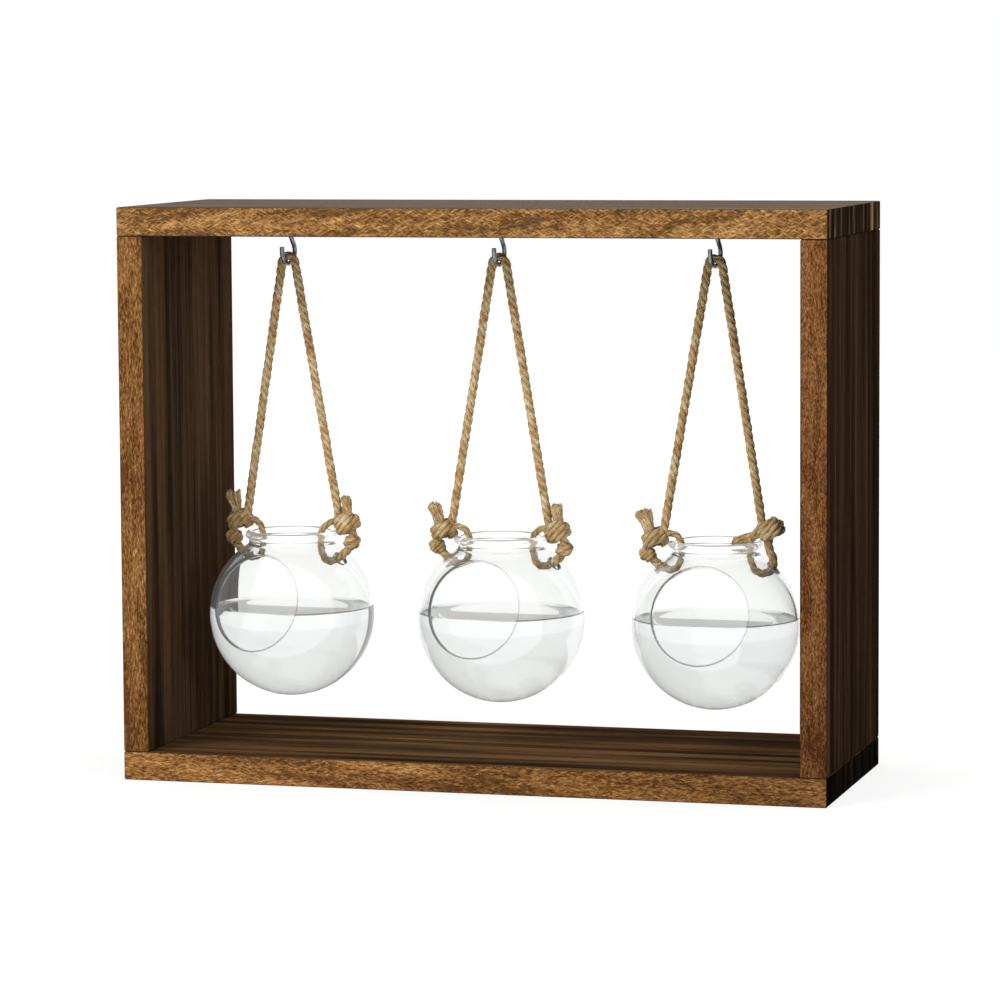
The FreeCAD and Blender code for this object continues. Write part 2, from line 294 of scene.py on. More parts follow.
def woodMaterial(node, look):
    material, tree = newMaterial(node + " stained wood")
    grain = woodGrain
    coords = addNode(tree, "TexCoord").outputs
    standing = look["grain"] == "z"
    turn = (0, radians(90), 0) if standing else (0, 0, 0)
    mapped = addNode(tree, "Mapping",
                     {"Vector": coords["Object"], "Location": look["shift"], "Rotation": turn})
    lines = mapped.outputs["Vector"]

    def marks(size, source, detail, roughness, distortion=0.0):
        # Noise whose marks are as long and wide as the grain's named size
        long, wide = grain[size]
        return stretchedNoise(tree, source, (1 / long, 1 / wide, 1 / wide), detail, roughness, distortion)

    def endMarks(size):
        wide, tall = grain[size]
        return stretchedNoise(tree, coords["Object"], (1.0, 1 / wide, 1 / tall), 3.0)

    def leaning(lean):
        # The grain's lines leant within the narrow face
        angle = radians(lean)
        rotation = (0, 0, angle) if standing else (0, angle, 0)
        return addNode(tree, "Mapping", {"Vector": lines, "Rotation": rotation}).outputs["Vector"]

    def spread(value, low, high, first=0.0, last=1.0):
        return drawnOut(tree, value, low, high, first, last)

    # Which face of the board this is, from its own direction
    facing = addNode(tree, "SeparateXYZ", {"Vector": coords["Normal"]}).outputs
    endwise, edgewise, upwards = (combine(tree, "ABSOLUTE", facing[axis]) for axis in "XYZ")
    isUpper = spread(facing["Z"], *grain["facing"])

    # Broad faces: long bands with fine streaks in them
    streaks = marks("streak", lines, 5.0, 0.62)
    bands = combine(tree, "MULTIPLY", marks("band", lines, 3.0, 0.5, 0.2), grain["bandShare"])
    share = spread(combine(tree, "ADD", bands, streaks), *grain["broadRange"])
    color = colorRamp(tree, share, grain["broadPlaces"], look["broad"])
    # Painted light: up-facing faces take the lighter, greyer ramp, standing in for light from above and
    # sheen
    if "upper" in look:
        color = mixed(tree, isUpper, color, colorRamp(tree, share, grain["broadPlaces"], look["upper"]))

    # Narrow faces: short light flecks that lean both ways, dark dots, and slow darker zones
    flecks = combine(tree, "MAXIMUM", marks("fleck", leaning(look["fleckLean"]), 2.0, 0.5, 0.4),
                     marks("fleck", leaning(-look["fleckLean"]), 2.0, 0.5, 0.4))
    dots = marks("dot", leaning(look["fleckLean"] / 2), 1.0, 0.5)
    zones = marks("zone", leaning(look["zoneLean"]), 3.0, 0.55, 0.6)
    tone = combine(tree, "ADD", spread(flecks, *grain["fleckRange"]), spread(zones, *grain["zoneRange"]))
    edge = colorRamp(tree, tone, grain["edgePlaces"], look["edge"])
    edge = mixed(tree, spread(zones, *grain["zoneCover"]), edge, linear(look["zone"]))
    edge = mixed(tree, spread(dots, *grain["dotCover"]), edge, linear(look["edge"][0]))
    # Their tone changes from one end of the board to the other
    low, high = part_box(node)
    place = addNode(tree, "SeparateXYZ", {"Vector": coords["Object"]}).outputs
    along = place["Z"] if standing else place["X"]
    reach = (low.z, high.z) if standing else (low.x, high.x)
    edge = mixed(tree, 1.0, edge, spread(along, *reach, *look["edgeGain"]), "MULTIPLY")
    color = mixed(tree, spread(edgewise, *grain["facing"]), color, edge)

    # Ends: near black, with upright bands and rays
    if "end" in look:
        bandPart, rayPart = (combine(tree, "MULTIPLY", endMarks(size), amount)
                             for size, amount in zip(("endBand", "endRay"), grain["endShares"]))
        end = colorRamp(tree, combine(tree, "ADD", bandPart, rayPart), grain["endPlaces"], look["end"])
        color = mixed(tree, spread(endwise, *grain["facing"]), color, end)

    # The arrises, where the faces turn, are darker, and the open pores are short dark lines that are
    # slightly sunk
    squarely = combine(tree, "MAXIMUM", combine(tree, "MAXIMUM", endwise, edgewise), upwards)
    pores = spread(marks("pore", lines, 2.0, 0.5), *grain["poreRange"])
    shade = combine(tree, "MULTIPLY", spread(pores, 0.0, 1.0, *grain["poreShade"]),
                    spread(squarely, *grain["arrisDarkRange"]))
    color = mixed(tree, 1.0, color, shade, "MULTIPLY")
    height = combine(tree, "ADD", combine(tree, "MULTIPLY", streaks, 0.5), pores)
    surface(tree, {"Base Color": color, "Roughness": spread(streaks, 0.0, 1.0, *grain["roughness"]),
                   "Normal": bumps(tree, height, grain["bumpStrength"], grain["poreDepth"]), "IOR": 1.45,
                   "Specular IOR Level": spread(isUpper, 0.0, 1.0, grain["gloss"], look["upperGloss"])})
    return material


def finishBoards():
    for node, look in woodLooks.items():
        board = frame["nodes"][node]
        dress(board, woodMaterial(node, look))
    print("boards finished")


finishBoards()


# Beech dowels, turned and unfinished: pale, with fine lines along them

dowelLook = {"line": (9 * mm, 0.6 * mm), "colors": ("#a98558", "#d8b98a"), "roughness": 0.62}


def dowelMaterial():
    material, tree = newMaterial("plain beech")
    coords = addNode(tree, "TexCoord").outputs
    long, wide = dowelLook["line"]
    lines = stretchedNoise(tree, coords["Object"], (1 / wide, 1 / wide, 1 / long), 2.0)
    color = colorRamp(tree, lines, (0.3, 0.7), dowelLook["colors"])
    surface(tree, {"Base Color": color, "Roughness": dowelLook["roughness"]})
    return material


def finishDowels():
    beech = dowelMaterial()
    for level in ("top", "bottom"):
        for side in ("left", "right"):
            dowels = frame["nodes"][level + "_" + side + "_dowels"]
            dress(dowels, beech)
    print("dowels finished")


finishDowels()


# Zinc-plated steel wire, drawn and barrel plated: grey, soft gloss, with a faint blotch

zincLook = {
    "blotch": 1.6 * mm, "colors": ("#71767c", "#adb2b7"), "roughness": (0.26, 0.46),
    "bumpDepth": 0.1 * mm, "bumpStrength": 0.15,
}


def zincMaterial():
    material, tree = newMaterial("zinc plated steel wire")
    look = zincLook
    coords = addNode(tree, "TexCoord").outputs
    blotch = stretchedNoise(tree, coords["Object"], (1 / look["blotch"],) * 3, 3.0)
    surface(tree, {"Base Color": colorRamp(tree, blotch, (0.3, 0.7), look["colors"]), "Metallic": 1.0,
                   "Roughness": drawnOut(tree, blotch, 0.0, 1.0, *look["roughness"]),
                   "Normal": bumps(tree, blotch, look["bumpStrength"], look["bumpDepth"])})
    return material


def finishHooks():
    zinc = zincMaterial()
    for name in vaseNames:
        hook = frame["nodes"][name + "_hook"]
        dress(hook, zinc)
    print("hooks finished")


finishHooks()


# The vases' sizes, and where each one hangs as read from the frame

vaseLook = {
    "radius": 41.0 * mm, "wall": 2.0 * mm,
    "shoulderRadius": 21.2 * mm,
    "shoulderGap": 1.5,         # degrees left for the round between globe and neck
    "neckHeight": 2.2 * mm, "neckRound": 1.6 * mm,
    "rimRadius": 23.0 * mm, "rimHeight": 4.1 * mm,
    "rimUnder": (0.2 * mm, 0.7 * mm), "rimRound": 0.9 * mm,
    "mouthRadius": 20.0 * mm, "mouthGap": 2.5,
    "mouthRound": 2.0 * mm,
    "windowRadius": 24.0 * mm, "windowLift": 14.5,
    "windowEase": 0.2 * mm,
    "windowCuts": (-2.5, -1, -0.6, -0.2, 0.2, 0.6, 1, 2.5),
    # The painted dark ring at the window's edge: its width, its depth and how it leans darker to the lower
    # left
    "seamWidth": 0.6 * mm,
    "seamShade": 0.72, "seamLean": 0.22,
    "rimFade": 1.0 * mm,
    "holeRadius": 4.0 * mm, "holeLean": 45.0,
    "holeSides": 40,
    "steps": 192, "sphereSteps": 96,
    "spinMerge": 0.01 * mm, "windowMerge": 0.015 * mm,
    "joinMerge": 0.02 * mm,
    "smoothAngle": 50.0,
}


def vaseAxis(name):
    # The middle of the vase's globe, and how far the vase is turned
    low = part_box(name + "_globe")[0]
    tilt = joints[name + "_tilt"]
    middle = Vector((tilt["pos_m"][0], tilt["pos_m"][1], low.z + vaseLook["radius"]))
    return middle, atan2(tilt["axis"][1], tilt["axis"][0])


def hookAxis(name):
    # The middle of the hook's bend, and how far the hook is turned
    side = joints[name + "_side_swing"]
    return Vector(side["pos_m"]), atan2(-side["axis"][0], side["axis"][1])


def turned(point, angle):
    return Quaternion(upright, angle) @ Vector(point)


# Jute rope: three strands of coarse yarn laid left-handed, dry and fibrous, so it has no gloss.
# Its colour has painted shade between the strands and in the grooves between the yarns

ropeLook = {
    "radius": 2.3 * mm, "strandRadius": 1.31 * mm,
    "strandOut": 0.99 * mm,
    "lay": 12.8 * mm,
    "yarns": 6, "yarnLay": 11.0 * mm,
    "yarnDepth": 0.17,
    "ring": 0.65 * mm, "sides": 24,
    "unevenness": 0.05, "unevenLength": 3.1 * mm,
    "hookGap": 0.3 * mm, "hookWire": 1.15 * mm,
    "bendCorners": 4,
    "straight": (60 * mm, 14 * mm),
    "colors": ("#7d5a30", "#b88e54", "#dcbc86", "#faedcf"),
    "colorPlaces": (0.33, 0.43, 0.53, 0.64),
    "fibreScale": (9.0, 0.55, 1.0),
    "patch": 5 * mm, "fibreShare": 0.62,
    "patchShare": 0.38,
    "fibreDepth": 0.25 * mm,
    "bumpStrength": 0.9,
}


def ropeMaterial():
    material, tree = newMaterial("twisted jute")
    look = ropeLook
    coords = addNode(tree, "TexCoord").outputs
    reach = attribute(tree, "reach")
    yarn = attribute(tree, "yarn")
    fibres = stretchedNoise(tree, coords["UV"], look["fibreScale"], 4.0, 0.65)
    patches = stretchedNoise(tree, coords["Object"], (1 / look["patch"],) * 3, 2.0)
    tone = combine(tree, "ADD", combine(tree, "MULTIPLY", fibres, look["fibreShare"]),
                   combine(tree, "MULTIPLY", patches, look["patchShare"]))
    color = colorRamp(tree, tone, look["colorPlaces"], look["colors"])
    # Painted shade: darker deeper into the rope, between its strands, and in the grooves between the yarns
    inside = colorRamp(tree, reach, (0.5, 0.72, 0.92), (0.2, 0.6, 1.0))
    paintedGrooveShade = colorRamp(tree, yarn, (0.1, 0.6), (0.62, 1.0))
    color = mixed(tree, 1.0, color, inside, "MULTIPLY")
    color = mixed(tree, 1.0, color, paintedGrooveShade, "MULTIPLY")
    surface(tree, {"Base Color": color, "Roughness": 0.88, "Specular IOR Level": 0.2,
                   "Sheen Weight": 0.12, "Sheen Roughness": 0.6,
                   "Normal": bumps(tree, fibres, look["bumpStrength"], look["fibreDepth"])})
    return material


def routePoints(controls, spacing):
    # Even points along the smooth line that the control points steer
    curve = bpy.data.curves.new("route", "CURVE")
    curve.dimensions = "3D"
    curve.resolution_u = 16
    spline = curve.splines.new("NURBS")
    spline.points.add(len(controls) - 1)
    for point, control in zip(spline.points, controls):
        point.co = (*control, 1)
    spline.order_u = 3
    spline.use_endpoint_u = True
    carrier = addObject("route", curve)
    mesh = bpy.data.meshes.new_from_object(carrier)
    line = [vertex.co.copy() for vertex in mesh.vertices]
    bpy.data.objects.remove(carrier)
    bpy.data.meshes.remove(mesh)
    lengths = [0.0]
    for before, after in zip(line, line[1:]):
        lengths.append(lengths[-1] + (after - before).length)
    count = max(4, round(lengths[-1] / spacing))
    points = []
    at = 0
    for number in range(count + 1):
        want = lengths[-1] * number / count
        while at < len(lengths) - 2 and lengths[at + 1] < want:
            at += 1
        span = lengths[at + 1] - lengths[at]
        share = (want - lengths[at]) / span if span else 0
        points.append(line[at].lerp(line[at + 1], share))
    return points, lengths[-1]


def framesAlong(points):
    # At each point the direction of the line and two steady directions across it
    ways = []
    for number in range(len(points)):
        before = points[max(number - 1, 0)]
        after = points[min(number + 1, len(points) - 1)]
        ways.append((after - before).normalized())
    across = ways[0].orthogonal().normalized()
    found = []
    for way in ways:
        across = (across - way * across.dot(way)).normalized()
        found.append((way, across, way.cross(across)))
    return found


def acrossAt(first, second, angle):
    return first * cos(angle) + second * sin(angle)


class TubeSheets:
    # Gathers tubes into one mesh with UV and the values from which the jute's material paints shade between
    # strands and yarns
    def __init__(self):
        self.points = []
        self.faces = []
        self.uvs = []
        self.reach = []
        self.yarn = []

    def addTube(self, rings, lengths, reaches, yarns, width):
        sides = len(rings[0])
        base = len(self.points)
        for ring, reachRow, yarnRow in zip(rings, reaches, yarns):
            self.points.extend(ring)
            self.reach.extend(reachRow)
            self.yarn.extend(yarnRow)
        for row in range(len(rings) - 1):
            near, far = base + row * sides, base + (row + 1) * sides
            for side in range(sides):
                following = (side + 1) % sides
                self.faces.append([near + side, near + following, far + following, far + side])
                low, high = side / sides * width, (side + 1) / sides * width
                self.uvs.extend([(low, lengths[row]), (high, lengths[row]),
                                 (high, lengths[row + 1]), (low, lengths[row + 1])])
        for row, ring, flipped in ((0, rings[0], True), (len(rings) - 1, rings[-1], False)):
            middle = sum(ring, Vector()) / sides
            self.points.append(middle)
            # Each cap takes its ring's mean depth and a middling groove value for the painted shade
            self.reach.append(sum(reaches[row]) / sides)
            self.yarn.append(0.3)
            tip = len(self.points) - 1
            for side in range(sides):
                following = (side + 1) % sides
                first, second = base + row * sides + side, base + row * sides + following
                self.faces.append([second, first, tip] if flipped else [first, second, tip])
                self.uvs.extend([(0, lengths[row]), (width, lengths[row]), (width / 2, lengths[row])])

    def build(self, name, material):
        piece = meshPiece(name, self.points, self.faces)
        layer = piece.data.uv_layers.new(name="UVMap")
        layer.data.foreach_set("uv", [value for uv in self.uvs for value in uv])
        setValues(piece, "reach", self.reach)
        setValues(piece, "yarn", self.yarn)
        piece.data.polygons.foreach_set("use_smooth", [True] * len(piece.data.polygons))
        piece.data.materials.append(material)
        return piece


def sizeAt(sizes, share):
    # The size at a share of the length, eased between the two nearest of the listed ones
    for (before, small), (after, large) in zip(sizes, sizes[1:]):
        if share <= after:
            step = (share - before) / (after - before)
            return small + (large - small) * (3 - 2 * step) * step**2
    return sizes[-1][1]


def addRope(sheets, controls, draw, sizes=((1, 1),)):
    # Three strands laid round the route
    look = ropeLook
    points, length = routePoints(controls, look["ring"])
    frames = framesAlong(points)
    last = len(points) - 1
    step = length / last
    thickness = [sizeAt(sizes, number / last) for number in range(last + 1)]
    phase = draw.uniform(0, 2 * pi)
    for strand in range(3):
        middles, outwards = [], []
        for number, (point, (_, across, side)) in enumerate(zip(points, frames)):
            angle = phase + strand * 2 * pi / 3 - 2 * pi * number * step / look["lay"]
            outward = acrossAt(across, side, angle)
            outwards.append(outward)
            middles.append(point + outward * look["strandOut"] * thickness[number])
        rings, reaches, yarns, lengths = [], [], [], []
        wobble = draw.uniform(0, 6)
        ways = [way for way, _, _ in framesAlong(middles)]
        for number, (middle, outward, way) in enumerate(zip(middles, outwards, ways)):
            size = thickness[number]
            along = number * step
            first = (outward - way * outward.dot(way)).normalized()
            second = way.cross(first)
            uneven = 1 + look["unevenness"] * sin(along / look["unevenLength"] + wobble)
            ring, reachRow, yarnRow = [], [], []
            for side in range(look["sides"]):
                turn = 2 * pi * side / look["sides"]
                wave = abs(cos(look["yarns"] / 2 * (turn - 2 * pi * along / look["yarnLay"])))
                radius = look["strandRadius"] * size * uneven * (1 - look["yarnDepth"] * (1 - wave))
                place = middle + acrossAt(first, second, turn) * radius
                ring.append(place)
                # How deep each point lies in the rope, and the yarns' wave, for the painted shade
                reachRow.append((place - points[number]).length / (look["radius"] * size))
                yarnRow.append(wave)
            rings.append(ring)
            reaches.append(reachRow)
            yarns.append(yarnRow)
            lengths.append(along / mm)
        sheets.addTube(rings, lengths, reaches, yarns, look["yarns"])
    addFuzz(sheets, points, frames, length, draw)
    return length


fuzzLook = {
    "perMillimetre": 0.75, "length": (1.2 * mm, 3.6 * mm), "radius": 0.055 * mm, "depth": 0.86,
    "lift": (0.15, 0.7), "bend": 0.6, "corners": (0, 2.1, 4.2), "shares": (0, 0.33, 0.66, 1),
    "thinning": 0.25,
}


def addHair(sheets, start, way, length, radius, draw, bend):
    # One loose fibre
    look = fuzzLook
    sideways = Vector([draw.uniform(-1, 1) for _ in range(3)]) * bend
    points = [start + way * length * share + sideways * length * share**2 * 0.5 for share in look["shares"]]
    rings, lengths = [], []
    for number, (point, (_, across, side)) in enumerate(zip(points, framesAlong(points))):
        size = radius * (1 - look["thinning"] * number)
        rings.append([point + acrossAt(across, side, angle) * size for angle in look["corners"]])
        lengths.append(number * length / 3 / mm)
    plain = [[1.0] * len(look["corners"])] * len(points)
    sheets.addTube(rings, lengths, plain, plain, 1)


def addFuzz(sheets, points, frames, length, draw):
    # Stray fibres along a stretch of rope
    look = fuzzLook
    for _ in range(round(length / mm * look["perMillimetre"])):
        number = draw.randrange(2, len(points) - 2)
        way, across, side = frames[number]
        outward = acrossAt(across, side, draw.uniform(0, 2 * pi))
        start = points[number] + outward * ropeLook["radius"] * look["depth"]
        heading = (way * draw.choice((-1, 1)) + outward * draw.uniform(*look["lift"])).normalized()
        addHair(sheets, start, heading, draw.uniform(*look["length"]), look["radius"], draw, look["bend"])


# Knots: an eye through the glass with a half hitch on it, turns round the standing rope, and a cut tail

knotLook = {
    "out": 30.2 * mm, "up": 44.19 * mm,
    "slackOut": 26.6 * mm, "slackUp": 48.39 * mm,
    "strandUp": 46.6 * mm,
    "eyeStart": (1.6 * mm, -2.0 * mm), "slackStart": (-0.6 * mm, -2.0 * mm),
    "eyeEnd": (-2.0 * mm, 1.4 * mm),
    "legInset": 4.0 * mm,
    "turns": 2.6, "turnsStart": 150.0, "turnRadius": 4.95 * mm, "turnsTuck": 0.45,
    "turnsLow": -3.5 * mm, "turnsHigh": 3.4 * mm,
    "turnsLean": 17.0, "ripple": 0.07,
    "hitch": (33.8 * mm, 35.3 * mm), "hitchFollow": 0.7,
    "hitchTurns": 2.1, "hitchStart": 60.0, "hitchRadius": 2.45 * mm, "hitchTuck": 0.4,
    "hitchHeight": 4.4 * mm, "hitchLean": 20.0, "hitchSize": 0.88,
    "tailOut": 1.0 * mm, "tailRadius": 1.7 * mm, "tailYarns": 22, "tailTwist": 1.1, "tailOpening": 1.6,
    "yarnRadius": 0.72 * mm, "yarnSides": 12, "yarnSpacing": 0.6 * mm, "yarnRidge": 0.12,
    "endHairs": 4, "endHairRadius": 0.08 * mm, "endHairBend": 0.3,
}

knots = {
    # Each knot as it was tied: how far it sits out and up from the others' place, how far its tail
    # leans outwards and to the front, the tail's length, how much the tail spreads outwards and front
    # to back, how round its end is and, for the one that does, how far it parts in two. The one slack
    # knot has an eye route of its own
    "left": (
        {"side": "left", "shift": (0.4 * mm, 1.5 * mm), "lean": (10.0, 4.0), "tail": 14.2 * mm,
         "spread": (1.7, 1.3), "dome": 0.5 * mm, "parting": 1.3 * mm},
        {"side": "right", "shift": (2.6 * mm, 2.5 * mm), "lean": (-4.0, 3.0), "tail": 13.6 * mm,
         "spread": (1.3, 1.3), "dome": 1.5 * mm},
    ),
    "middle": (
        {"side": "left", "shift": (0.8 * mm, -1.1 * mm), "lean": (17.0, 5.0), "tail": 14.4 * mm,
         "spread": (2.0, 1.6), "dome": 2.2 * mm},
        {"side": "right", "shift": (0.1 * mm, 0.5 * mm), "lean": (-5.0, 2.0), "tail": 13.0 * mm,
         "spread": (1.6, 1.4), "dome": 0.3 * mm},
    ),
    "right": (
        {"side": "left", "shift": (0.2 * mm, -2.2 * mm), "lean": (21.0, 4.0), "tail": 14.4 * mm,
         "spread": (2.6, 1.6), "dome": 0.6 * mm},
        {"side": "right", "shift": (0.8 * mm, -0.6 * mm), "lean": (-112.0, 12.0), "tail": 22.0 * mm,
         "spread": (1.15, 1.15), "dome": 1.6 * mm, "slack": True},
    ),
}

# Each eye's way out of its knot, through the glass and up inside the neck: out from the vase's axis
# and up from the globe's middle
eyeRoute = ((35.3 * mm, 38.4 * mm), (33.6 * mm, 32.9 * mm), (23.3 * mm, 25.5 * mm), (17.0 * mm, 28.9 * mm))
slackRoute = ((25.9 * mm, 43.0 * mm), (26.6 * mm, 37.0 * mm), (29.6 * mm, 31.4 * mm),
              (25.4 * mm, 24.6 * mm), (17.0 * mm, 27.6 * mm))

# The eye is drawn thin where it is pulled up the neck and over the rim
eyeSizes = ((0, 1.0), (0.3, 1.0), (0.42, 0.86), (0.55, 0.76), (1, 0.76))


def inPlane(out, up):
    # A place out from the vase's axis and up
    return Vector((out, 0, up))


def knotMiddle(knot):
    out, up = ("slackOut", "slackUp") if knot.get("slack") else ("out", "up")
    return inPlane(knotLook[out] + knot["shift"][0], knotLook[up] + knot["shift"][1])


def eyeControls(knot):
    # The eye's route, in the plane through the vase's axis
    slack = knot.get("slack")
    middle = knotMiddle(knot)
    route = [inPlane(out, up) for out, up in (slackRoute if slack else eyeRoute)]
    if not slack:
        route[0] += inPlane(*knot["shift"])
    start = middle + inPlane(*knotLook["slackStart" if slack else "eyeStart"])
    over = inPlane(route[-1].x, knotLook["strandUp"])
    return [start, *route, over, middle + inPlane(*knotLook["eyeEnd"])]


def climbingTurns(turns, startAngle, radius, tuck, low, high, ripple=0.0, phase=0.0):
    # Turns that climb round an upright, with both ends tucked in
    controls = []
    count = round(turns * 8)
    for number in range(count + 1):
        share = number / count
        angle = radians(startAngle) + 2 * pi * turns * share
        reach = radius * (tuck if number in (0, count) else 1) * (1 + ripple * sin(3 * angle + phase))
        height = low + (high - low) * share
        controls.append(Vector((reach * cos(angle), reach * sin(angle), height)))
    return controls


def hitchControls(knot):
    # A half hitch on the eye, below the knot and outside the glass
    look = knotLook
    out, up = (place + shift * look["hitchFollow"] for place, shift in zip(look["hitch"], knot["shift"]))
    tip = Quaternion((0, 1, 0), radians(look["hitchLean"]))
    half = look["hitchHeight"] / 2
    turns = climbingTurns(look["hitchTurns"], look["hitchStart"], look["hitchRadius"], look["hitchTuck"],
                          -half, half)
    return [inPlane(out, up) + tip @ control for control in turns]


goldenAngle = 2.39996


def addTail(sheets, base, axes, knot, draw):
    # A cut end whose yarns stay together where they leave the knot and open towards their ends
    way, across, side = axes
    look = knotLook
    count, sides = look["tailYarns"], look["yarnSides"]
    for number in range(count):
        ringShare = sqrt((number + 0.5) / count)
        angle = number * goldenAngle + draw.uniform(-0.25, 0.25)
        length = knot["tail"] + draw.uniform(-0.8, 0.4) * mm - knot["dome"] * ringShare**2
        wander = [draw.uniform(-0.35, 0.35) * mm for _ in range(2)]
        parting = copysign(knot.get("parting", 0.0), cos(angle - look["tailTwist"]))
        points = []
        for share in (0, 0.2, 0.4, 0.6, 0.8, 1):
            opening = share**look["tailOpening"]
            turn = angle - look["tailTwist"] * share
            wave = sin(5 * share)
            radius = ringShare * look["tailRadius"]
            wide, deep = (1 + (spread - 1) * opening for spread in knot["spread"])
            out = cos(turn) * radius * wide + parting * opening + wander[0] * wave
            back = sin(turn) * radius * deep + wander[1] * wave
            points.append(base + way * length * share + across * out + side * back)
        line = routePoints(points, look["yarnSpacing"])[0]
        rings, reaches, yarns, lengths = [], [], [], []
        thick = look["yarnRadius"] * draw.uniform(0.85, 1.2)
        for row, (point, (_, first, second)) in enumerate(zip(line, framesAlong(line))):
            size = thick * (1 + 0.1 * sin(row * 1.3 + number))
            if row == len(line) - 1:
                size *= 0.6
            ring, yarnRow = [], []
            for step in range(sides):
                turn = 2 * pi * step / sides
                ridge = cos(3 * turn + row * 0.5)
                ring.append(point + acrossAt(first, second, turn) * size * (1 + look["yarnRidge"] * ridge))
                # The grooves between the ridges take painted shade
                yarnRow.append(0.5 + 0.5 * ridge)
            rings.append(ring)
            yarns.append(yarnRow)
            # Painted shade: the tail's inner yarns darker than its outer ones, each yarn a little different
            # at random
            reaches.append([0.66 + 0.3 * ringShare + draw.uniform(-0.04, 0.04)] * sides)
            lengths.append(row * look["yarnSpacing"] / mm + number * 3)
        sheets.addTube(rings, lengths, reaches, yarns, 3)
        end, heading = line[-1], (line[-1] - line[-2]).normalized()
        for _ in range(look["endHairs"]):
            stray = Vector([draw.uniform(-0.4, 0.4) for _ in range(3)])
            addHair(sheets, end - heading * 0.3 * mm, (heading + stray).normalized(),
                    draw.uniform(0.5, 1.6) * mm, look["endHairRadius"], draw, look["endHairBend"])


def makeKnot(name, knot, material):
    look = knotLook
    middle, vaseTurn = vaseAxis(name)
    spin = Quaternion(upright, vaseTurn + (pi if knot["side"] == "left" else 0))
    draw = random.Random(name + knot["side"])
    knotPlace = knotMiddle(knot)
    knotWorld = middle + spin @ knotPlace

    def placed(controls):
        return [middle + spin @ control for control in controls]

    sheets = TubeSheets()
    turns = climbingTurns(look["turns"], look["turnsStart"], look["turnRadius"], look["turnsTuck"],
                          look["turnsLow"], look["turnsHigh"], look["ripple"], knotPlace.x / mm)
    tip = Quaternion((0, 1, 0), -radians(look["turnsLean"]))
    addRope(sheets, placed(eyeControls(knot)), draw, eyeSizes)
    addRope(sheets, [knotWorld + tip @ (spin @ control) for control in turns], draw)
    if not knot.get("slack"):
        addRope(sheets, placed(hitchControls(knot)), draw, ((1, look["hitchSize"]),))
    leanOut, leanFront = knot["lean"]
    if knot["side"] == "left":
        leanFront = -leanFront
    lean = Quaternion((0, 1, 0), radians(leanOut))
    front = Quaternion((1, 0, 0), radians(leanFront))
    way = spin @ (front @ (lean @ upright))
    base = middle + spin @ (knotPlace + inPlane(look["tailOut"], 0))
    across = spin @ Vector((1, 0, 0))
    across = (across - way * across.dot(way)).normalized()
    addTail(sheets, base, (way, across, way.cross(across)), knot, draw)
    piece = sheets.build(name + "_knotted_rope_" + knot["side"], material)
    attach(piece, name + "_rope")
    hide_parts(name + "_rope_" + knot["side"] + "_knot")


def legPlaces(name):
    # Where the left and right legs go into their knots
    middle, vaseTurn = vaseAxis(name)
    places = []
    for knot, halfTurn in zip(knots[name], (pi, 0)):
        local = knotMiddle(knot) - inPlane(knotLook["legInset"], 0)
        places.append(middle + turned(local, vaseTurn + halfTurn))
    return places


def makeRope(name, material):
    # One rope from knot to knot, over the hook
    look = ropeLook
    hookPlace, hookTurn = hookAxis(name)
    bend = look["hookWire"] + look["hookGap"] + look["radius"]
    out = knotLook["out"] - knotLook["legInset"]
    down = hookPlace.z - vaseAxis(name)[0].z - knotLook["up"]
    slope = atan2(out, down) + acos(bend / hypot(out, down)) - pi / 2
    step = (pi - 2 * slope) / look["bendCorners"]

    def onBend(angle, radius):
        return hookPlace + turned(Vector((cos(angle), 0, sin(angle))) * radius, hookTurn)

    corners = [onBend(slope + step * (number + 0.5), bend / cos(step / 2))
               for number in range(look["bendCorners"])]
    legs = []
    for end, angle in zip(legPlaces(name), (pi - slope, slope)):
        touch = onBend(angle, bend)
        way = (end - touch).normalized()
        reaches = (*look["straight"], bend * tan(step / 2))
        legs.append([end] + [touch + way * reach for reach in reaches])
    controls = legs[0] + corners[::-1] + legs[1][::-1]
    sheets = TubeSheets()
    length = addRope(sheets, controls, random.Random(name))
    piece = sheets.build(name + "_rope_over_hook", material)
    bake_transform(piece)
    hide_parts(name + "_rope_bend", name + "_rope_legs")
    print(name, "rope from knot to knot", round(length / mm), "mm")


def makeRopes():
    jute = ropeMaterial()
    for name in vaseNames:
        makeRope(name, jute)
        for knot in knots[name]:
            makeKnot(name, knot, jute)
    print("ropes made")


makeRopes()


# Clear soda-lime glass, blown into a mould and fire polished: smooth, barely green at its edges

glassLook = {
    "clear": "#fcfdfc", "seam": "#4e5755", "seamPlaces": (0.1, 0.7), "depth": "#7e8584", "density": 16.0,
    "paintedGlow": 0.02, "paintedRimGlow": 0.11, "bending": 1.5,
}
waterLook = {
    "clear": "#fafbfb", "depth": "#ececec", "density": 8.0, "paintedGlow": 0.02, "bending": 1.333,
    "level": 3.0 * mm, "rise": 1.1 * mm, "riseWidth": 2.2 * mm, "sink": 0.12 * mm,
}


def clearMaterial(name, look, glowStrength):
    # A clear body that light passes through, and that darkens with its depth. Its faint white emission is a
    # painted glow
    material, tree = newMaterial(name)
    depth = addNode(tree, "VolumeAbsorption", {"Color": linear(look["depth"]), "Density": look["density"]})
    shader = surface(tree, {"Base Color": linear(look["clear"]), "Transmission Weight": 1.0,
                            "Roughness": 0.0, "IOR": look["bending"], "Emission Color": linear("#ffffff"),
                            "Emission Strength": glowStrength}, Volume=depth.outputs[0])
    return material, tree, shader


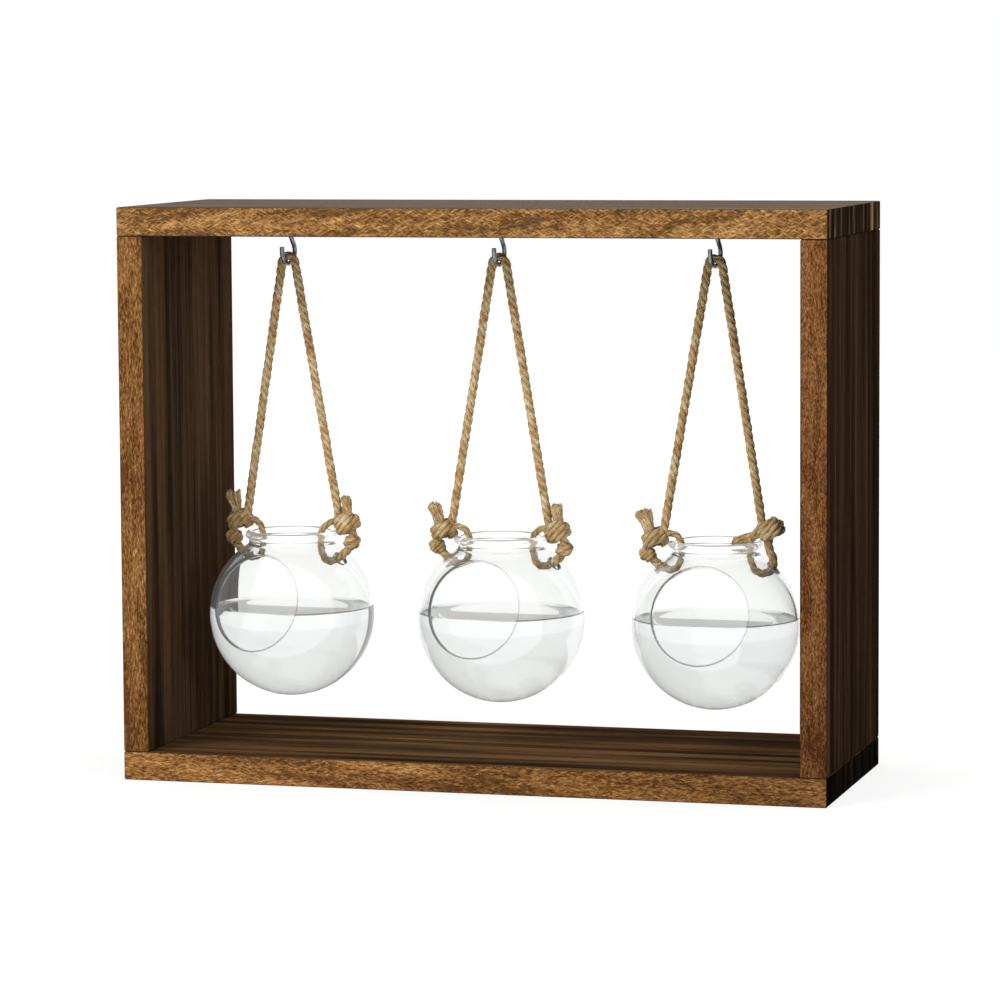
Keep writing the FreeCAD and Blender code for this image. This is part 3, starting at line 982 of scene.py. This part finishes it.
def glassMaterial():
    look = glassLook
    material, tree, shader = clearMaterial("clear blown glass", look, 1.0)
    # The moulded edge of the window gets a painted dark ring, darkest at its lower left, and the thick rim
    # a painted glow
    seam = attribute(tree, "seam")
    color = colorRamp(tree, seam, look["seamPlaces"], (look["clear"], look["seam"]))
    rim = attribute(tree, "rim")
    glow = colorRamp(tree, rim, (0.0, 1.0), (look["paintedGlow"], look["paintedRimGlow"]))
    tree.links.new(color, shader.inputs["Base Color"])
    tree.links.new(glow, shader.inputs["Emission Color"])
    return material


def waterMaterial():
    # Still tap water, with a faint painted glow
    return clearMaterial("water", waterLook, waterLook["paintedGlow"])[0]


def arcPoints(middle, radius, start, end, count):
    # Points of an arc in the X-Z plane, angles in degrees from +X
    points = []
    for number in range(count + 1):
        angle = radians(start + (end - start) * number / count)
        points.append((middle[0] + radius * cos(angle), middle[1] + radius * sin(angle)))
    return points


def filleted(points, corner, radius, count):
    # The outline with the named corner rounded
    before, at, after = (Vector(points[corner + i]) for i in (-1, 0, 1))
    arrive, leave = (at - before).normalized(), (after - at).normalized()
    turn = arrive.angle(leave)
    reach = radius * tan(turn / 2)
    start, end = at - arrive * reach, at + leave * reach
    rounded = []
    for number in range(count + 1):
        share = number / count
        rounded.append(tuple(start.lerp(at, share).lerp(at.lerp(end, share), share)))
    return points[:corner] + rounded + points[corner + 1:]


def shoulderHeight():
    return sqrt(vaseLook["radius"]**2 - vaseLook["shoulderRadius"]**2)


def outerProfile():
    # Half outline of the outside, from the bottom up over the rim to its crown
    look = vaseLook
    shoulder = degrees(atan2(shoulderHeight(), look["shoulderRadius"]))
    neckTop = shoulderHeight() + look["neckHeight"]
    rimHalf = look["rimHeight"] / 2
    rimMiddle = neckTop + rimHalf
    underOut, underUp = look["rimUnder"]
    globe = arcPoints((0, 0), look["radius"], -90, shoulder - look["shoulderGap"], look["sphereSteps"])
    globe[0] = (0, globe[0][1])
    corner = len(globe)
    points = globe + [(look["shoulderRadius"], shoulderHeight()), (look["shoulderRadius"], neckTop)]
    points += [(look["rimRadius"] - underOut, rimMiddle - underUp)]
    points += arcPoints((look["rimRadius"] - rimHalf, rimMiddle), rimHalf, 0, 90, 10)
    points = filleted(points, corner + 1, look["rimRound"], 5)
    return filleted(points, corner, look["neckRound"], 7)


def innerProfile():
    # Half outline of the inside, from the rim's crown down to the bottom
    look = vaseLook
    inner = look["radius"] - look["wall"]
    rimTop = outerProfile()[-1][1]
    mouthBase = degrees(acos(look["mouthRadius"] / inner))
    ease = look["rimRadius"] - look["rimHeight"] / 2 - look["mouthRadius"]
    points = arcPoints((look["mouthRadius"] + ease, rimTop - ease), ease, 90, 180, 6)
    corner = len(points)
    points += [(look["mouthRadius"], inner * sin(radians(mouthBase)))]
    points += arcPoints((0, 0), inner, mouthBase - look["mouthGap"], -90, look["sphereSteps"])
    points[-1] = (0, points[-1][1])
    return filleted(points, corner, look["mouthRound"], 6)


def closeSeams(distance):
    # Merges the edited mesh's points that are nearer than the distance, and turns all faces outwards
    bpy.ops.mesh.select_all(action="SELECT")
    bpy.ops.mesh.remove_doubles(threshold=distance)
    bpy.ops.mesh.normals_make_consistent(inside=False)
    bpy.ops.object.mode_set(mode="OBJECT")


def smoothed(piece):
    makeActive(piece)
    bpy.ops.object.shade_smooth_by_angle(angle=radians(vaseLook["smoothAngle"]))
    return piece


def spunPiece(name, profile):
    # The half outline spun once round the upright
    edges = [(number, number + 1) for number in range(len(profile) - 1)]
    piece = meshPiece(name, [(x, 0, z) for x, z in profile], [], edges)
    editAll(piece)
    bpy.ops.mesh.spin(steps=vaseLook["steps"], angle=2 * pi, center=(0, 0, 0), axis=(0, 0, 1))
    closeSeams(vaseLook["spinMerge"])
    return piece


def windowPlane(inset=0.0):
    # The way the window faces, and how far it lies from the globe's middle
    look = vaseLook
    lift = radians(look["windowLift"])
    distance = sqrt(look["radius"]**2 - look["windowRadius"]**2)
    return Vector((0, -cos(lift), sin(lift))), distance - inset


def pressWindow(piece, inset=0.0):
    # Presses the front of the globe flat. Cuts along the window's circle come first, for an even edge
    look = vaseLook
    way, distance = windowPlane(inset)
    ease = look["windowEase"]
    editAll(piece)
    for share in look["windowCuts"]:
        bpy.ops.mesh.select_all(action="SELECT")
        bpy.ops.mesh.bisect(plane_co=way * (distance + ease * share), plane_no=way)
    bpy.ops.mesh.select_all(action="SELECT")
    bpy.ops.mesh.remove_doubles(threshold=look["windowMerge"])
    bpy.ops.object.mode_set(mode="OBJECT")
    for vertex in piece.data.vertices:
        depth = vertex.co.dot(way)
        if depth > distance + ease:
            vertex.co -= way * (depth - distance)
        elif depth > distance - ease:
            vertex.co -= way * (depth - distance + ease)**2 / (4 * ease)


def sliceWindow(piece, inset):
    # Cuts the front off along a plane inside the window, and closes the cut
    way, distance = windowPlane(inset)
    editAll(piece)
    bpy.ops.mesh.bisect(plane_co=way * distance, plane_no=way, use_fill=True, clear_outer=True)
    editAll(piece)
    bpy.ops.mesh.normals_make_consistent(inside=False)
    bpy.ops.object.mode_set(mode="OBJECT")


def settle(piece, place, angle):
    # Turns and moves the piece by its mesh, so that its object stays at the origin
    makeActive(piece)
    piece.rotation_euler = (0, 0, angle)
    piece.location = place
    bpy.ops.object.transform_apply(location=True, rotation=True, scale=True)


def drillRopeHoles(piece):
    # One round hole in each shoulder, square to the glass
    look = vaseLook
    lean = radians(look["holeLean"])
    for side in (-1, 1):
        way = Vector((side * sin(lean), 0, cos(lean)))
        place = way * (look["radius"] - look["wall"] / 2)
        deselectAll()
        bpy.ops.mesh.primitive_cylinder_add(vertices=look["holeSides"], radius=look["holeRadius"],
                                            depth=look["wall"] * 4, location=place,
                                            rotation=(0, side * lean, 0))
        drill = bpy.context.object
        makeActive(piece)
        cut = piece.modifiers.new("rope hole", "BOOLEAN")
        cut.operation = "DIFFERENCE"
        cut.solver = "EXACT"
        cut.object = drill
        bpy.ops.object.modifier_apply(modifier=cut.name)
        bpy.data.objects.remove(drill)


def markGlass(piece):
    # Marks the window's outer edge, most at its lower left, for a painted dark ring, and the rim for a
    # painted glow
    look = vaseLook
    way, distance = windowPlane()
    rimStart = shoulderHeight() + look["neckHeight"]
    seams, rims = [], []
    for vertex in piece.data.vertices:
        depth = vertex.co.dot(way)
        around = vertex.co - way * depth
        away = abs(around.length - look["windowRadius"])
        outside = depth > distance - 3 * look["windowEase"]
        # Painted shade, darkest at the lower left of the window's edge
        shade = look["seamShade"] - look["seamLean"] * (around.x + around.z) / look["windowRadius"]
        seams.append(shade * max(0.0, 1 - away / look["seamWidth"]) if outside else 0.0)
        rims.append(min(1.0, max(0.0, 1 + (vertex.co.z - rimStart) / look["rimFade"])))
    setValues(piece, "seam", seams)
    setValues(piece, "rim", rims)


def makeGlobe():
    globe = spunPiece("glass outside", outerProfile())
    pressWindow(globe)
    inside = spunPiece("glass inside", innerProfile())
    pressWindow(inside, vaseLook["wall"])
    makeActive(globe)
    inside.select_set(True)
    bpy.ops.object.join()
    editAll(globe)
    closeSeams(vaseLook["joinMerge"])
    drillRopeHoles(globe)
    markGlass(globe)
    return smoothed(globe)


def makeWater():
    # Fills the globe to its level, with its outside just inside the glass wall, so that no air shows
    # between, and its edge risen against the glass
    look = waterLook
    radius = vaseLook["radius"] - vaseLook["wall"] + look["sink"]
    top = degrees(asin((look["level"] + look["rise"]) / radius))
    profile = arcPoints((0, 0), radius, -90, top, vaseLook["sphereSteps"])
    profile[0] = (0, profile[0][1])
    edge = profile[-1][0]
    for number in range(1, 7):
        share = number / 6
        profile.append((edge - look["riseWidth"] * share, look["level"] + look["rise"] * (1 - share)**2))
    profile += [(edge * share, look["level"]) for share in (0.75, 0.5, 0.25, 0)]
    water = spunPiece("water", profile)
    sliceWindow(water, vaseLook["wall"] - look["sink"])
    return smoothed(water)


def makeVases():
    glass, water = glassMaterial(), waterMaterial()
    globe, filling = makeGlobe(), makeWater()
    globe.data.materials.append(glass)
    filling.data.materials.append(water)
    for name in vaseNames:
        middle, vaseTurn = vaseAxis(name)
        for source, title in ((globe, "_glass_globe"), (filling, "_water")):
            piece = addObject(name + title, source.data.copy())
            settle(piece, middle, vaseTurn)
            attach(piece, name + "_vase")
            if source is globe:
                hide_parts(name + "_globe")
    bpy.data.objects.remove(globe)
    bpy.data.objects.remove(filling)
    print("vases made")


makeVases()


# Floor, backdrop and lamps

stageLook = {
    "floorSize": 6.0,
    "floorColor": "#f4f4f2",
    "floorWhite": 1.12,
    "shadowShare": 0.3, "shadowReach": (0.2, 0.5),
    "worldStrength": 0.55,
    # Each lamp's place, size and watts, and what they all point at
    "lamps": {
        "key": ((-0.9, -1.5, 1.3), 0.8, 19.0),
        "fill": ((1.5, -1.0, 0.7), 1.0, 6.0),
        "top": ((0.1, 0.2, 1.6), 1.0, 9.0),
    },
    "aim": (0, 0, 0.14),
}


def floorMaterial():
    # The floor keeps a faint shadow near the stand and is plain white further out
    material, tree = newMaterial("pale studio floor")
    look = stageLook
    coords = addNode(tree, "TexCoord").outputs
    away = addNode(tree, "VectorMath", {0: coords["Object"]}, operation="LENGTH")
    shadow = drawnOut(tree, away.outputs["Value"], *look["shadowReach"], look["shadowShare"], 0.0,
                      interpolation_type="SMOOTHSTEP")
    keep = combine(tree, "SUBTRACT", 1.0, shadow)
    share = combine(tree, "MULTIPLY", seenDirectly(tree), keep)
    plain = addNode(tree, "BsdfDiffuse", {"Color": linear(look["floorColor"])})
    white = addNode(tree, "Emission", {"Strength": look["floorWhite"]})
    mix = addNode(tree, "MixShader", {0: share, 1: plain.outputs[0], 2: white.outputs[0]})
    addNode(tree, "OutputMaterial", {"Surface": mix.outputs[0]})
    return material


def makeStage():
    look = stageLook
    deselectAll()
    bpy.ops.mesh.primitive_plane_add(size=look["floorSize"], location=(0, 0, 0))
    floor = bpy.context.object
    floor.name = "floor"
    floor.data.materials.append(floorMaterial())
    world = bpy.data.worlds.new("studio")
    bpy.context.scene.world = world
    tree = emptyTree(world)
    strength = drawnOut(tree, seenDirectly(tree), 0.0, 1.0, look["worldStrength"], 1.0)
    back = addNode(tree, "Background", {"Color": (1, 1, 1, 1), "Strength": strength})
    addNode(tree, "OutputWorld", {"Surface": back.outputs[0]})
    for name, (place, size, watts) in look["lamps"].items():
        lamp = addObject(name, bpy.data.lights.new(name, "AREA"))
        lamp.data.size = size
        lamp.data.energy = watts
        lamp.location = place
        lamp.visible_glossy = lamp.visible_transmission = False
        aim = Vector(look["aim"]) - Vector(place)
        lamp.rotation_mode = "QUATERNION"
        lamp.rotation_quaternion = aim.to_track_quat("-Z", "Y")
    bpy.context.scene.view_settings.view_transform = "Standard"
    print("stage set")


makeStage()
